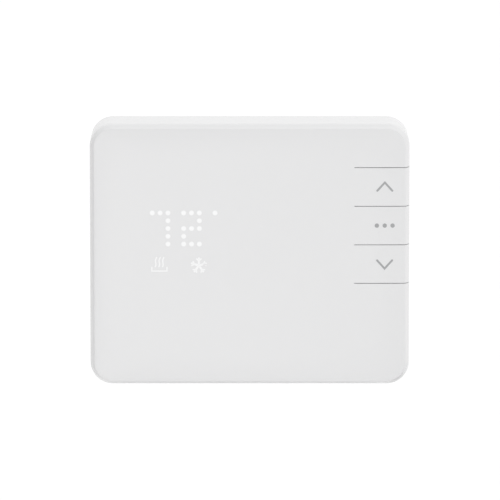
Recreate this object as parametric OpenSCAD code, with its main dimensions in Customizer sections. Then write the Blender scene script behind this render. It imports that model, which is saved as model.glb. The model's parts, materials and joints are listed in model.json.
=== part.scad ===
// Wall thermostat: a front unit with three flexing keys clips over a wall plate with push-in
// wire terminals. Every sub-part is drawn in the wall frame, in millimetres: x to the right,
// y up the wall, z out of the wall. upright() then stands it up, so that +Z is up, the front
// faces -Y and the origin is the centre of the screw pattern on the wall.

/* [Front unit] */
// Width of the front unit
case_w = 110; // [108:0.5:116]
// Height of the front unit
case_h = 90.5; // [90:0.5:100]
// Depth from the wall to the front face
case_d = 26; // [26:0.1:26.6]
// Radius of the four corners, seen from the front
corner_r = 7.7; // [7:0.1:9]
// Width of the rounded edge, seen from the front
edge_w = 1.5; // [1:0.1:1.8]
// Depth of the rounded edge, seen from the side
edge_d = 3.2; // [1.5:0.1:4]
// Fall of the face from its flat middle to the edge round
crown_h = 0.3; // [0.1:0.05:0.4]
// Width of the border in which the face falls
crown_run = 8; // [6:0.5:12]
// Thickness of the case walls
wall = 2; // [1.8:0.1:2.2]
// Clearance between the wall and the back edge of the front unit
wall_gap = 1.2; // [0.8:0.1:1.4]

/* [Keys] */
// Place of the flexure where the keys join the cover, from the centre
key_root_x = 36; // [35:0.5:38]
// Distance from one key to the next
key_pitch = 13.4; // [12.5:0.1:14]
// Height of the middle key above the centre
key_mid_y = 10.4; // [8:0.1:12]
// Width of the slits between the keys
slit_w = 0.2; // [0.15:0.05:0.5]
// Distance that the keys reach back round the side of the case
key_skirt = 9; // [6:0.5:9.5]
// Turn of a pressed key about its flexure, in degrees
key_press = 1.6; // [1:0.1:1.6]

/* [Display] */
// Pitch of the light dots, both ways
dot_pitch = 2.7; // [2.5:0.05:2.8]
// Radius of one light dot
dot_r = 0.85; // [0.7:0.05:0.9]
// Place of the left column of dots, from the centre
dot_left_x = -33.5; // [-35:0.1:-32]
// Height of the lowest row of dots above the centre
dot_low_y = 4; // [3:0.1:6]
// Height of the two status icons
icon_y = -3.5; // [-4:0.1:-3]
// Thickness of the skin that the light shines through
display_skin = 0.8; // [0.6:0.1:1]

/* [Power] */
// Radius of an AA cell
cell_r = 7.15; // [7:0.05:7.25]
// Length of an AA cell, with its nub
cell_l = 50.5; // [49.5:0.1:50.5]
// Number of turns in a cell spring
spring_turns = 4; // [3:1:5]

/* [Wall plate] */
// Thickness of the plate
plate_t = 2; // [1.8:0.1:2.1]
// Width between the four wall screws
screw_dx = 80; // [76:1:84]
// Height between the four wall screws
screw_dy = 70; // [68:1:71]
// Height between the two wall box screws
box_screw_dy = 60.3; // [58:0.1:62]
// Width of a screw slot
slot_w = 4.4; // [4:0.1:4.8]
// Length of a screw slot, end to end
slot_l = 8; // [6:0.5:9]
// Width of the opening for the wires
wire_w = 15; // [12:0.5:15.5]
// Height of the opening for the wires
wire_h = 30; // [24:1:30]

/* [Terminals] */
// Terminals in each block
terminals = 4; // [3:1:4]
// Distance from one terminal to the next
terminal_pitch = 7; // [6.5:0.1:7]
// Travel of a release tab
tab_travel = 1.5; // [1:0.1:1.5]

/* [Hidden] */
$fn = 48;

SIDES = ["left", "right"];
KEYS = ["up", "menu", "down"];
CELLS = [1, 2, 3, 4];
TABS = [for (i = [1 : 2 * terminals]) i];

eps = 0.01;
ahead = 50;                                   // further forward than any part of the case

// The front unit, from its face back towards the wall
crown_slope = 2 * crown_h / crown_run;
round_end = atan(edge_d / edge_w / crown_slope); // where the edge is as steep as the crown's start
rim_z = case_d - crown_h - edge_d * sin(round_end);
inner_w = case_w - 2 * wall;
inner_h = case_h - 2 * wall;
inner_r = corner_r - wall;
inner_z = case_d - wall;
board_t = 1.6;
board_top = inner_z - 3.8;                    // the components' side of the board
board_z = board_top - board_t;
floor_t = 1;
floor_top = board_z - 0.3;                    // the side of the rear case that faces the board
floor_z = floor_top - floor_t;
face_profile = concat(
    [[0, wall_gap]],
    [for (i = [0 : 6]) let (a = round_end * i / 6) [edge_w * (1 - cos(a)), rim_z + edge_d * sin(a)]],
    [for (i = [1 : 5]) let (t = i / 5)
        [edge_w * (1 - cos(round_end)) + crown_run * t, case_d - crown_h * pow(1 - t, 2)]]
);

// Keys, their switches and the flexure
root_gap = 0.1;
flexure_t = 0.8;
flexure_w = 1.6;
key_x = (key_root_x + case_w / 2) / 2 + 1.15; // the marks, the posts and the switches
key_ys = [for (i = [1, 0, -1]) key_mid_y + i * key_pitch];
notch_z = case_d - key_skirt - 0.8;           // back edge of the opening for the keys
switch_w = 6;
switch_h = 1.6;
plunger_r = 1.5;
plunger_top = board_top + 2.35;
post_gap = 0.1;

// Display
dot_columns = 9;
dot_rows = 5;
icon_xs = [dot_left_x + 0.85 * dot_pitch, dot_left_x + 5.9 * dot_pitch];
icon_w = 6.2;
guide_lo = [dot_left_x - 2.4, icon_y - 4];
guide_hi = [dot_left_x + (dot_columns - 1) * dot_pitch + 2.4, dot_low_y + (dot_rows - 1) * dot_pitch + 2.4];
pocket_top = case_d - display_skin;
diffuser_t = 0.25;
guide_top = pocket_top - diffuser_t - 0.05;

// Fastenings inside the front unit
boss_x = inner_w / 2 - 5.2;
boss_y = inner_h / 2 - 5;
boss_r = 3;
post_x = 22;
post_y = inner_h / 2 - 6.2;
post_r = 2.4;
case_screw_r = 0.9;
board_screw_r = 0.75;
screw_clearance = 0.05;

// On the board: x, y, width, height and thickness of each chip
chips = [[8, 4, 10, 10, 1.2], [24, -2, 5, 6, 1.4], [-2, -22, 6, 5, 1.4], [22, 26, 4, 5, 1]];
radio_at = [-4, 20.5];
radio_size = [20, 14, 0.8];
shield_at = [-2.5, 21.5];
shield_size = [13, 12, 2];
shield_t = 0.2;
relay_size = [10, 6.5, 4.8];
relay_pitch = 10;
capacitor_at = [11, 26];
capacitor_r = 3;
capacitor_h = 4.6;
sensor_at = [-34, -36];
slot_run = 9;                                 // slots that keep the board's heat from the sensor
slot_cut = 1.2;

// Battery bays and the box for the relays, in the rear case
bay_wall = 1.1;
bay_side = 0.8;
bay_z = 4.2;
ridge_z = 11;                                 // the ridge between the two cells of a bay
cell_gap = 0.9;
cell_inner_x = 29;
cell_outer_x = cell_inner_x + 2 * cell_r + cell_gap;
cell_z = floor_z - 0.2 - cell_r;
nub_l = 1;
nub_r = 2.75;
contact_t = 0.4;
dimple_t = 0.2;
coil_l = 4.5;
wire_r = 0.4;
bay_half = (cell_l + coil_l + 2 * contact_t + dimple_t) / 2;
bay_in_x = cell_inner_x - cell_r - 0.4;
bay_out_x = cell_outer_x + cell_r + 0.3;
relay_box_z = 12;
relay_box_w = 2 * (bay_in_x - bay_wall);
relay_box_h = 66;
relay_box_t = 1.2;

// Terminal blocks and the pins that meet them
pin_x = 11.6;
pin_w = 0.8;
pin_end_z = 6.2;
strip_l = terminals * terminal_pitch - 2;
block_x = 8.6;
block_w = 11;
block_l = terminals * terminal_pitch + 2;
block_top = 9.6;
terminal_ys = [for (i = [0 : terminals - 1]) (i - (terminals - 1) / 2) * terminal_pitch];
socket_w = 1.5;
socket_z = 5.2;
clip_t = 0.25;
clip_w = 2.4;
base_t = 0.8;
tab_w = 4.4;
tab_l = 4;
tab_x = block_x + block_w - tab_w / 2 - 1.4;
tab_z = 7.2;
tab_top = 11.1;
slide_gap = 0.15;

// Wall plate
plate_gap = 0.4;
plate_w = inner_w - 2 * plate_gap;
plate_h = inner_h - 2 * plate_gap;
rib_t = 1.2;
rim_h = 1.2;
arm_w = 10;
arm_t = 1.6;
arm_x = 24;
arm_top = 9;
vial_y = 22.5;
vial_r = 2.2;
vial_l = 18;

// ---------- shapes that repeat ----------

module upright() { rotate([90, 0, 0]) children(); }

module rounded_rect(w, h, r) {
    square([w - 2 * r, h], center = true);
    square([w, h - 2 * r], center = true);
    for (x = [-1, 1], y = [-1, 1])
        translate([x * (w / 2 - r), y * (h / 2 - r)]) circle(r);
}

module rounded_box(w, h, d, r) {
    linear_extrude(d) rounded_rect(w, h, r);
}

module block(lo, hi) {
    translate(lo) cube(hi - lo);
}

module centred_block(x, y, z, w, h, d) {
    translate([x - w / 2, y - h / 2, z]) cube([w, h, d]);
}

module mirror_x() {
    children();
    mirror([1, 0, 0]) children();
}

module four_corners(x, y) {
    for (i = [-1, 1], j = [-1, 1]) translate([i * x, j * y, 0]) children();
}

// A slot that runs along x
module slot(w, l, d) {
    centred_block(0, 0, 0, l - w, w, d);
    for (i = [-1, 1]) translate([i * (l - w) / 2, 0, 0]) cylinder(r = w / 2, h = d);
}

// A round wire that climbs in a helix from radius r0 to radius r1
module coil(r0, r1, height, turns, wire, steps = 14, sides = 6) {
    count = turns * steps;
    centre = function (i) let (t = i / count, a = 360 * turns * t, r = r0 + (r1 - r0) * t)
        [r * cos(a), r * sin(a), wire + (height - 2 * wire) * t];
    points = [for (i = [0 : count], k = [0 : sides - 1])
        let (a = 360 * turns * i / count, b = 360 * k / sides)
        centre(i) + wire * [cos(b) * cos(a), cos(b) * sin(a), sin(b)]];
    skin = [for (i = [0 : count - 1], k = [0 : sides - 1]) let (n = (k + 1) % sides)
        [i * sides + k, i * sides + n, (i + 1) * sides + n, (i + 1) * sides + k]];
    first = [for (k = [sides - 1 : -1 : 0]) k];
    last = [for (k = [0 : sides - 1]) count * sides + k];
    polyhedron(points, concat(skin, [first, last]));
}

module pan_screw(head_r, head_h, shank_r, shank_l) {
    difference() {
        translate([0, 0, -head_h]) cylinder(r = head_r, h = head_h);
        for (a = [0, 90])
            rotate(a) centred_block(0, 0, -head_h - eps, head_r * 1.2, head_r * 0.28, head_h * 0.55);
    }
    cylinder(r = shank_r, h = shank_l);
}

// ---------- front unit: cover and keys ----------

// The outside of the case as one solid block with its crowned face
module case_block() {
    hull() for (p = face_profile)
        translate([0, 0, p[1] - eps])
            rounded_box(case_w - 2 * p[0], case_h - 2 * p[0], eps, max(corner_r - p[0], 0.6), $fn = 32);
}

module case_shell() {
    difference() {
        case_block();
        rounded_box(inner_w, inner_h, inner_z, inner_r);
    }
}

// The opening in the cover that the three keys fill
module key_notch() {
    half = 1.5 * key_pitch + slit_w / 2;
    block([key_root_x, key_mid_y - half, notch_z], [case_w, key_mid_y + half, ahead]);
}

module vent_slots() {
    for (x = [-32 : 4 : 32])
        centred_block(x, -case_h / 2, 6.5, 1.6, 3 * wall, 8.5);
}

module display_pocket() {
    lo = guide_lo - [0.2, 0.2];
    hi = guide_hi + [0.2, 0.2];
    block([lo[0], lo[1], inner_z - eps], [hi[0], hi[1], pocket_top]);
}

module front_cover() {
    color("whitesmoke") difference() {
        union() {
            case_shell();
            four_corners(boss_x, boss_y)
                translate([0, 0, floor_top]) cylinder(r = boss_r, h = inner_z - floor_top + 0.5);
            four_corners(post_x, post_y)
                translate([0, 0, board_top]) cylinder(r = post_r, h = inner_z - board_top + 0.5);
        }
        key_notch();
        vent_slots();
        display_pocket();
        four_corners(boss_x, boss_y)
            translate([0, 0, floor_top - eps]) cylinder(r = case_screw_r + screw_clearance, h = 5);
        four_corners(post_x, post_y)
            translate([0, 0, board_top - eps]) cylinder(r = board_screw_r + screw_clearance, h = 3);
    }
}

module key(y) {
    tall = key_pitch - slit_w;
    root_x = key_root_x + root_gap;
    post_top = inner_z + 0.3;
    color("whitesmoke") difference() {
        union() {
            intersection() {
                case_shell();
                block([root_x, y - tall / 2, case_d - key_skirt], [case_w, y + tall / 2, ahead]);
            }
            translate([key_x, y, plunger_top + post_gap])
                cylinder(r = plunger_r, h = post_top - plunger_top - post_gap);
            centred_block(key_x, y, inner_z - 0.7, 12, 1, 1);
        }
        // thinned from behind, so that the key bends here
        block([key_root_x, y - tall, inner_z - 1], [root_x + flexure_w, y + tall, case_d - flexure_t]);
    }
}

// ---------- front unit: electronics ----------

module tact_switch(y) {
    color("dimgray") translate([key_x, y, 0]) difference() {
        centred_block(0, 0, board_top, switch_w, switch_w, switch_h);
        translate([0, 0, board_top + 0.6]) cylinder(r = plunger_r + 0.1, h = switch_h);
    }
}

module plunger(y) {
    color("black") translate([key_x, y, board_top + 1])
        cylinder(r = plunger_r, h = plunger_top - board_top - 1);
}

module main_board() {
    color("darkgreen") difference() {
        union() {
            centred_block(0, 0, board_z, inner_w - 4, inner_h - 22, board_t);
            centred_block(0, 0, board_z, inner_w - 20, inner_h - 4, board_t);
        }
        four_corners(post_x, post_y)
            translate([0, 0, board_z - eps]) cylinder(r = 1, h = board_t + 1);
        translate([sensor_at[0], sensor_at[1], board_z - eps]) {
            for (x = [-5, 5]) centred_block(x, 1, 0, slot_cut, slot_run, board_t + 1);
            centred_block(0, 6.5, 0, slot_run, slot_cut, board_t + 1);
        }
    }
}

module light_guide() {
    color("white") difference() {
        block([guide_lo[0], guide_lo[1], board_top], [guide_hi[0], guide_hi[1], guide_top]);
        for (i = [0 : dot_columns - 1], j = [0 : dot_rows - 1])
            translate([dot_left_x + i * dot_pitch, dot_low_y + j * dot_pitch, board_top - eps])
                cylinder(r = dot_r, h = ahead, $fn = 24);
        for (x = icon_xs)
            centred_block(x, icon_y, board_top - eps, icon_w, icon_w - 0.4, ahead);
    }
}

module diffuser() {
    top = guide_top + diffuser_t;
    color("ivory") block([guide_lo[0], guide_lo[1], guide_top], [guide_hi[0], guide_hi[1], top]);
}

module display_leds() {
    color("khaki") {
        for (i = [0 : dot_columns - 1], j = [0 : dot_rows - 1])
            centred_block(dot_left_x + i * dot_pitch, dot_low_y + j * dot_pitch, board_top, 1, 0.6, 0.5);
        for (x = icon_xs)
            centred_block(x, icon_y, board_top, 1.6, 0.8, 0.7);
    }
}

module radio_board() {
    color("navy") translate([radio_at[0], radio_at[1], board_top]) cube(radio_size);
}

module radio_shield() {
    inside = shield_size - [2, 2, 1] * shield_t;
    color("silver") translate([shield_at[0], shield_at[1], board_top + radio_size[2]]) difference() {
        cube(shield_size);
        translate([shield_t, shield_t, -eps]) cube(inside);
    }
}

module logic_chips() {
    color("black") for (c = chips)
        centred_block(c[0], c[1], board_top, c[2], c[3], c[4]);
}

module relays() {
    color("orange") for (i = [-2 : 2])
        translate([-relay_size[0] / 2, i * relay_pitch - relay_size[1] / 2, board_z - relay_size[2]])
            cube(relay_size);
}

module capacitors() {
    color("slategray") four_corners(capacitor_at[0], capacitor_at[1])
        translate([0, 0, board_z - capacitor_h]) cylinder(r = capacitor_r, h = capacitor_h);
}

module climate_sensor() {
    color("white") difference() {
        centred_block(sensor_at[0], sensor_at[1], board_top, 3, 3, 1.1);
        translate([sensor_at[0], sensor_at[1], board_top + 0.7]) cylinder(r = 0.6, h = 1, $fn = 24);
    }
}

module pin_square(x, y, w, z0, z1) {
    centred_block(x, y, z0, w, w, z1 - z0);
}

module pin_headers() {
    color("black") for (x = [-pin_x, pin_x]) difference() {
        centred_block(x, 0, board_z - 2.5, 2.5, strip_l, 2.5);
        for (y = terminal_ys) pin_square(x, y, pin_w, board_z - 3, board_z + 1);
    }
}

module header_pins() {
    color("gold") for (x = [-pin_x, pin_x], y = terminal_ys)
        pin_square(x, y, pin_w, pin_end_z, board_z);
}

// ---------- front unit: rear case, fasteners and cells ----------

module battery_bay() {
    end_y = bay_half + bay_wall;
    difference() {
        block([bay_in_x - bay_wall, -end_y, bay_z], [bay_out_x + bay_side, end_y, floor_z + eps]);
        block([bay_in_x, -bay_half, bay_z - 1], [bay_out_x, bay_half, floor_z + 1]);
    }
    ridge_x = (cell_inner_x + cell_outer_x) / 2;
    centred_block(ridge_x, 0, ridge_z, 0.6, 2 * bay_half - 8, floor_z - ridge_z + eps);
}

module rear_case() {
    box_in_w = relay_box_w - 0.2;
    box_in_h = relay_box_h - 2 * relay_box_t;
    box_deep = floor_z - relay_box_z + eps;
    floor_w = inner_w - 1.2;
    color("gainsboro") difference() {
        union() {
            translate([0, 0, floor_z]) rounded_box(floor_w, inner_h - 1.2, floor_t, inner_r - 0.5);
            mirror_x() battery_bay();
            centred_block(0, 0, relay_box_z, relay_box_w + 2 * bay_wall, relay_box_h, box_deep);
        }
        centred_block(0, 0, relay_box_z + relay_box_t, box_in_w, box_in_h, ahead);
        for (x = [-pin_x, pin_x]) centred_block(x, 0, relay_box_z - 1, 2.4, strip_l, relay_box_t + 2);
        four_corners(boss_x, boss_y)
            translate([0, 0, floor_z - 1]) cylinder(r = case_screw_r + 0.2, h = floor_t + 2);
        four_corners(post_x, post_y)
            translate([0, 0, floor_z - 1]) cylinder(r = 2.1, h = floor_t + 2);
    }
}

module case_screws() {
    color("silver") four_corners(boss_x, boss_y)
        translate([0, 0, floor_z]) pan_screw(2, 1.4, case_screw_r, 5.4);
}

module board_screws() {
    color("silver") four_corners(post_x, post_y)
        translate([0, 0, board_z]) pan_screw(1.6, 1, board_screw_r, 4);
}

// Cells 1 and 2 stand in the left bay and 3 and 4 in the right one. Odd cells have their nub up.
function cell_x(i) = [-cell_outer_x, -cell_inner_x, cell_inner_x, cell_outer_x][i - 1];
function cell_up(i) = i % 2 == 1 ? 1 : -1;

// Turns y into the cell's own axis, with 0 at the bay's middle and the nub at +z
module along_cell(i) {
    translate([cell_x(i), 0, cell_z]) rotate([-90 * cell_up(i), 0, 0]) children();
}

module cell(i) {
    nub_end = bay_half - contact_t - dimple_t;
    color("goldenrod") along_cell(i) {
        translate([0, 0, nub_end - cell_l]) cylinder(r = cell_r, h = cell_l - nub_l);
        translate([0, 0, nub_end - nub_l]) cylinder(r = nub_r, h = nub_l);
    }
}

module cell_spring(i) {
    color("silver") along_cell(i) {
        centred_block(0, 0, -bay_half, 10, 9, contact_t);
        translate([0, 0, -bay_half + contact_t]) coil(3.6, 2.4, coil_l, spring_turns, wire_r);
    }
}

module cell_contact(i) {
    color("silver") along_cell(i) {
        centred_block(0, 0, bay_half - contact_t, 10, 9, contact_t);
        translate([0, 0, bay_half - contact_t - dimple_t]) cylinder(r = 2, h = dimple_t);
    }
}

// ---------- wall plate and terminals ----------

module screw_slots() {
    four_corners(screw_dx / 2, screw_dy / 2) translate([0, 0, -1]) slot(slot_w, slot_l, 5);
    for (y = [-1, 1]) translate([0, y * box_screw_dy / 2, -1]) rotate(90) slot(slot_w, slot_l, 5);
}

// Shallow pockets in the back, which leave a flat band and pads that meet the wall
module back_pockets() {
    for (x = [-1, 1]) {
        centred_block(x * 33, 0, -1, 26, 46, 1.6);
        centred_block(x * 18, 35, -1, 20, 9, 1.6);
        centred_block(x * 18, -35, -1, 20, 9, 1.6);
    }
}

module plate_rim() {
    difference() {
        rounded_box(plate_w, plate_h, plate_t + rim_h, inner_r - plate_gap);
        translate([0, 0, -1])
            rounded_box(plate_w - 2 * rib_t, plate_h - 2 * rib_t, ahead, inner_r - plate_gap - rib_t);
    }
}

module snap_arms() {
    for (x = [-arm_x, arm_x], y = [-1, 1])
        centred_block(x, y * (plate_h - arm_t) / 2, 0.5, arm_w, arm_t, arm_top - 0.5);
}

module vial_cradle() {
    for (x = [-1, 1])
        centred_block(x * (vial_l / 2 - 2), vial_y, plate_t - 0.2, 1.2, 2 * vial_r + 2, 3.4);
}

module wall_plate() {
    color("white") difference() {
        union() {
            rounded_box(plate_w, plate_h, plate_t, inner_r - plate_gap);
            plate_rim();
            snap_arms();
            vial_cradle();
            centred_block(0, 0, 0.5, wire_w + 1.8, wire_h + 1.8, plate_t + 0.3);
        }
        back_pockets();
        screw_slots();
        translate([0, 0, -1]) rounded_box(wire_w, wire_h, ahead, 3);
        translate([-vial_l, vial_y, plate_t + 0.1 + vial_r]) rotate([0, 90, 0])
            cylinder(r = vial_r + 0.05, h = 2 * vial_l);
    }
}

module level_vial() {
    color("lightcyan") translate([-vial_l / 2, vial_y, plate_t + 0.1 + vial_r]) rotate([0, 90, 0])
        difference() {
            cylinder(r = vial_r, h = vial_l);
            translate([0, 0, 1]) cylinder(r = vial_r - 0.5, h = vial_l - 2);
        }
}

module level_fluid() {
    color("yellowgreen") translate([-vial_l / 2 + 1, vial_y, plate_t + 0.1 + vial_r]) rotate([0, 90, 0])
        difference() {
            cylinder(r = vial_r - 0.5, h = vial_l - 2);
            translate([0, 0.7, vial_l / 2 - 1]) sphere(r = 0.95);
        }
}

// The right-hand block. The wires come in from the middle, and the pins and tabs from the front.
module terminal_block() {
    base_w = tab_x - pin_x + tab_w;
    color("seagreen") difference() {
        centred_block(block_x + block_w / 2, 0, plate_t, block_w, block_l, block_top - plate_t);
        for (y = terminal_ys) {
            pin_square(pin_x, y, socket_w, socket_z, block_top + 1);
            centred_block(tab_x, y, socket_z, tab_w + 2 * slide_gap, tab_l + 2 * slide_gap, block_top);
            centred_block((pin_x + tab_x) / 2, y, socket_z - base_t, base_w, clip_w, base_t + eps);
            translate([block_x - 1, y, plate_t + 1.2 + 0.1]) rotate([0, 90, 0]) cylinder(r = 1.15, h = 6);
        }
    }
}

module terminal_clips() {
    base_w = tab_x - pin_x + tab_w;
    color("gold") for (y = terminal_ys) {
        difference() {
            pin_square(pin_x, y, socket_w, socket_z, block_top - 0.4);
            pin_square(pin_x, y, socket_w - 2 * clip_t, socket_z - 1, block_top);
        }
        centred_block((pin_x + tab_x) / 2, y, socket_z - base_t, base_w, clip_w, base_t);
    }
}

// Tabs 1 to 4 are in the left block, from the top down, and 5 to 8 in the right one
module release_tab(i) {
    side = i <= terminals ? -1 : 1;
    y = terminal_ys[terminals - 1 - (i - 1) % terminals];
    color("orangered") difference() {
        centred_block(side * tab_x, y, tab_z, tab_w, tab_l, tab_top - tab_z);
        centred_block(side * tab_x, y, tab_top - 0.4, 2.4, 0.7, 1);
    }
}

// ---------- the nodes ----------

upright() wall_plate();
upright() level_vial();
upright() level_fluid();
upright() mirror([1, 0, 0]) terminal_block();  // terminal_block_left
upright() terminal_block();  // terminal_block_right
upright() mirror([1, 0, 0]) terminal_clips();  // terminal_clips_left
upright() terminal_clips();  // terminal_clips_right
for (i = TABS) upright() release_tab(i);

upright() front_cover();
upright() rear_case();
upright() main_board();
upright() light_guide();
upright() diffuser();
upright() display_leds();
upright() radio_board();
upright() radio_shield();
upright() logic_chips();
upright() relays();
upright() capacitors();
upright() climate_sensor();
upright() pin_headers();
upright() header_pins();
upright() case_screws();
upright() board_screws();

for (k = [0 : 2]) {
    upright() key(key_ys[k]);
    upright() tact_switch(key_ys[k]);
    upright() plunger(key_ys[k]);
}

for (i = CELLS) {
    upright() cell(i);
    upright() cell_spring(i);
    upright() cell_contact(i);
}
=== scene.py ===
# Looks for the wall thermostat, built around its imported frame. Everything is in metres.
import bmesh
import bpy
import json
import math
from mathutils import Matrix, Vector
from mathutils.bvhtree import BVHTree

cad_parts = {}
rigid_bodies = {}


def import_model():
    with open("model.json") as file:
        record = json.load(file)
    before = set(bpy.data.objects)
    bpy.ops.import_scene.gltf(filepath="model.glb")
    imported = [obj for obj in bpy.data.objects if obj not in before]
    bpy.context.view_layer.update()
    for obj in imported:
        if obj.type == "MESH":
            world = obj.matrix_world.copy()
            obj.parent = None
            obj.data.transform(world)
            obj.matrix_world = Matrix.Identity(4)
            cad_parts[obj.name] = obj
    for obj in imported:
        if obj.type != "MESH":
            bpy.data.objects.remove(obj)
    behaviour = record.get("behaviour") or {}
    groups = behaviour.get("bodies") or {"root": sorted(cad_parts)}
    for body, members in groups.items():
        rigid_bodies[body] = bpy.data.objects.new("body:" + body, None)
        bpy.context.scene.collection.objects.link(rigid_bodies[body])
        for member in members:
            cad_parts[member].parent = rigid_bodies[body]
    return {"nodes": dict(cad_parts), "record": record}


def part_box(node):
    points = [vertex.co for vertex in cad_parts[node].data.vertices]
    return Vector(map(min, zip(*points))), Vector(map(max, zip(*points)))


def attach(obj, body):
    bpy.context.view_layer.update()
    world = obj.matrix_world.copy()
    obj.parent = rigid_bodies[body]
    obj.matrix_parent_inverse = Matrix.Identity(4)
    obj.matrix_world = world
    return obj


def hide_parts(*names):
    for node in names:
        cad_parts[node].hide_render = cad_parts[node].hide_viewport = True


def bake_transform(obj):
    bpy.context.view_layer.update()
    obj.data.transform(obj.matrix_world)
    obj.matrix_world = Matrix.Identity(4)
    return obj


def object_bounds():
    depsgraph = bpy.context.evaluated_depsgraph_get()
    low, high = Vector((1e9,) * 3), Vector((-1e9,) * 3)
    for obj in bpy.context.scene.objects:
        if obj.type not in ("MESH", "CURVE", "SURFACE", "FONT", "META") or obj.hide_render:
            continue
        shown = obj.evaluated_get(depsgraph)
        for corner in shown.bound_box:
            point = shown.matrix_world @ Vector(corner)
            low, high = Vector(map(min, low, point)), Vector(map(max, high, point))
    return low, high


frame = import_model()
nodes = frame["nodes"]
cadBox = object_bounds()
scene = bpy.context.scene
mm = 0.001
keyNames = ("up", "menu", "down")
cellCount = 4


# materials: sums on sockets

class Wire:  # a socket that can be added, multiplied and so on
    def __init__(self, paint, socket):
        self.paint = paint
        self.socket = socket

    def sum(self, operation, *terms):
        return self.paint.node("ShaderNodeMath", {"operation": operation}, dict(enumerate(terms)))

    def __add__(self, other):
        return self.sum("ADD", self, other)

    def __radd__(self, other):
        return self.sum("ADD", other, self)

    def __sub__(self, other):
        return self.sum("SUBTRACT", self, other)

    def __rsub__(self, other):
        return self.sum("SUBTRACT", other, self)

    def __mul__(self, other):
        return self.sum("MULTIPLY", self, other)

    def __rmul__(self, other):
        return self.sum("MULTIPLY", other, self)

    def __truediv__(self, other):
        return self.sum("DIVIDE", self, other)

    def __abs__(self):
        return self.sum("ABSOLUTE", self)

    def smooth(self, low, high):  # 0 below low, 1 above high
        return self.paint.node("ShaderNodeMapRange", {"interpolation_type": "SMOOTHSTEP"},
                               {"Value": self, "From Min": low, "From Max": high})


class Paint:  # one material, with one way to add any node
    def __init__(self, name, **fixed):
        self.material = bpy.data.materials.new(name)
        self.material.use_nodes = True
        self.tree = self.material.node_tree
        self.tree.nodes.clear()
        self.shader = self.tree.nodes.new("ShaderNodeBsdfPrincipled")
        output = self.tree.nodes.new("ShaderNodeOutputMaterial")
        self.tree.links.new(self.shader.outputs[0], output.inputs[0])
        self.place = None
        self.feed(self.shader, {key.replace("_", " "): value for key, value in fixed.items()})

    def feed(self, node, values):
        for key, value in values.items():
            socket = node.inputs[key]
            if isinstance(value, Wire):
                self.tree.links.new(value.socket, socket)
            elif isinstance(value, tuple) and len(value) == 3 and socket.type == "RGBA":
                socket.default_value = (*value, 1)
            else:
                socket.default_value = value

    def node(self, kind, settings=None, values=None, out=0):
        made = self.tree.nodes.new(kind)
        for key, value in (settings or {}).items():
            if key == "stops":
                for i, (place, color) in enumerate(value):
                    stop = made.color_ramp.elements[i] if i < 2 else made.color_ramp.elements.new(place)
                    stop.position = place
                    stop.color = (*color, 1)
            else:
                setattr(made, key, value)
        self.feed(made, values or {})
        return Wire(self, made.outputs[out])

    def coords(self):
        if self.place is None:
            self.place = self.node("ShaderNodeTexCoord", out="Object")
        return self.place

    def axis(self, letter):
        return self.node("ShaderNodeSeparateXYZ", values={0: self.coords()}, out=letter)

    def noise(self, perMetre, detail=2.0, rough=0.5):
        return self.node("ShaderNodeTexNoise", values={"Vector": self.coords(), "Scale": perMetre,
                                                       "Detail": detail, "Roughness": rough})

    def blend(self, factor, a, b):
        return self.node("ShaderNodeMix", {"data_type": "RGBA"}, {"Factor": factor, 6: a, 7: b}, out=2)

    def bump(self, height, depth, strength=1.0):
        self.feed(self.shader, {"Normal": self.node("ShaderNodeBump", values={
            "Height": height, "Distance": depth, "Strength": strength})})

    def set(self, **values):
        self.feed(self.shader, {key.replace("_", " "): value for key, value in values.items()})
        return self


def shade(color, by):
    return tuple(min(1, c * by) for c in color)


def mouldedPlastic(name, color, roughness=0.42, grain=0.012, grainScale=5200, vary=0.02, coat=0.0, **fixed):
    paint = Paint(name, IOR=1.5, Coat_Weight=coat, Coat_Roughness=0.15, **fixed)
    cloud = paint.noise(28, 3)
    spark = paint.noise(grainScale, 2, 0.6)
    paint.set(Base_Color=paint.blend(cloud, shade(color, 1 - vary), shade(color, 1 + vary)))
    paint.set(Roughness=roughness - 0.06 + 0.08 * cloud + 0.04 * spark)
    paint.bump(spark, grain * mm)
    return paint


def worn(paint, color, scratchScale, roughness, depth):
    streak = paint.node("ShaderNodeTexNoise", values={
        "Vector": paint.node("ShaderNodeMapping", values={0: paint.coords(), "Scale": (1, 1, 14)}),
        "Scale": scratchScale, "Detail": 3.0})
    spots = paint.noise(220, 4)
    paint.set(Base_Color=paint.blend(spots.smooth(0.35, 0.7), shade(color, 0.86), color))
    paint.set(Roughness=roughness + 0.14 * streak - 0.05 * spots)
    paint.bump(streak, depth * mm)
    return paint


def metal(name, color, roughness=0.24, scratchScale=420, depth=0.004):
    return worn(Paint(name, Metallic=1.0), color, scratchScale, roughness, depth)


def coverPlastic(name, color=(0.738, 0.738, 0.742)):
    return mouldedPlastic(name, color, roughness=0.25, grain=0.004, grainScale=6500, vary=0.004)


def circuitBoard(name, mask, copper):
    paint = Paint(name, IOR=1.52, Coat_Weight=0.5, Coat_Roughness=0.12)
    x, z = paint.axis("X"), paint.axis("Z")
    lane = 9 * paint.node("ShaderNodeTexVoronoi", {"distance": "CHEBYCHEV"}, {"Vector": paint.coords(), "Scale": 75.0})
    tracks = abs(lane - lane.sum("ROUND", lane)).smooth(0.12, 0.2)
    pitch = 2.54 * mm
    offX = abs(x / pitch - x.sum("ROUND", x / pitch))
    offZ = abs(z / pitch - z.sum("ROUND", z / pitch))
    hole = (offX * offX + offZ * offZ).smooth(0.012, 0.02)
    ground = paint.noise(40, 0).smooth(0.55, 0.58)
    via = (1 - hole) * ground
    maskColor = paint.blend(tracks, shade(mask, 1.5), mask)
    paint.set(Base_Color=paint.blend(via, maskColor, copper), Metallic=via, Roughness=0.3 + 0.15 * tracks)
    paint.bump(tracks * -0.6 - via, 0.02 * mm)
    return paint


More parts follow.
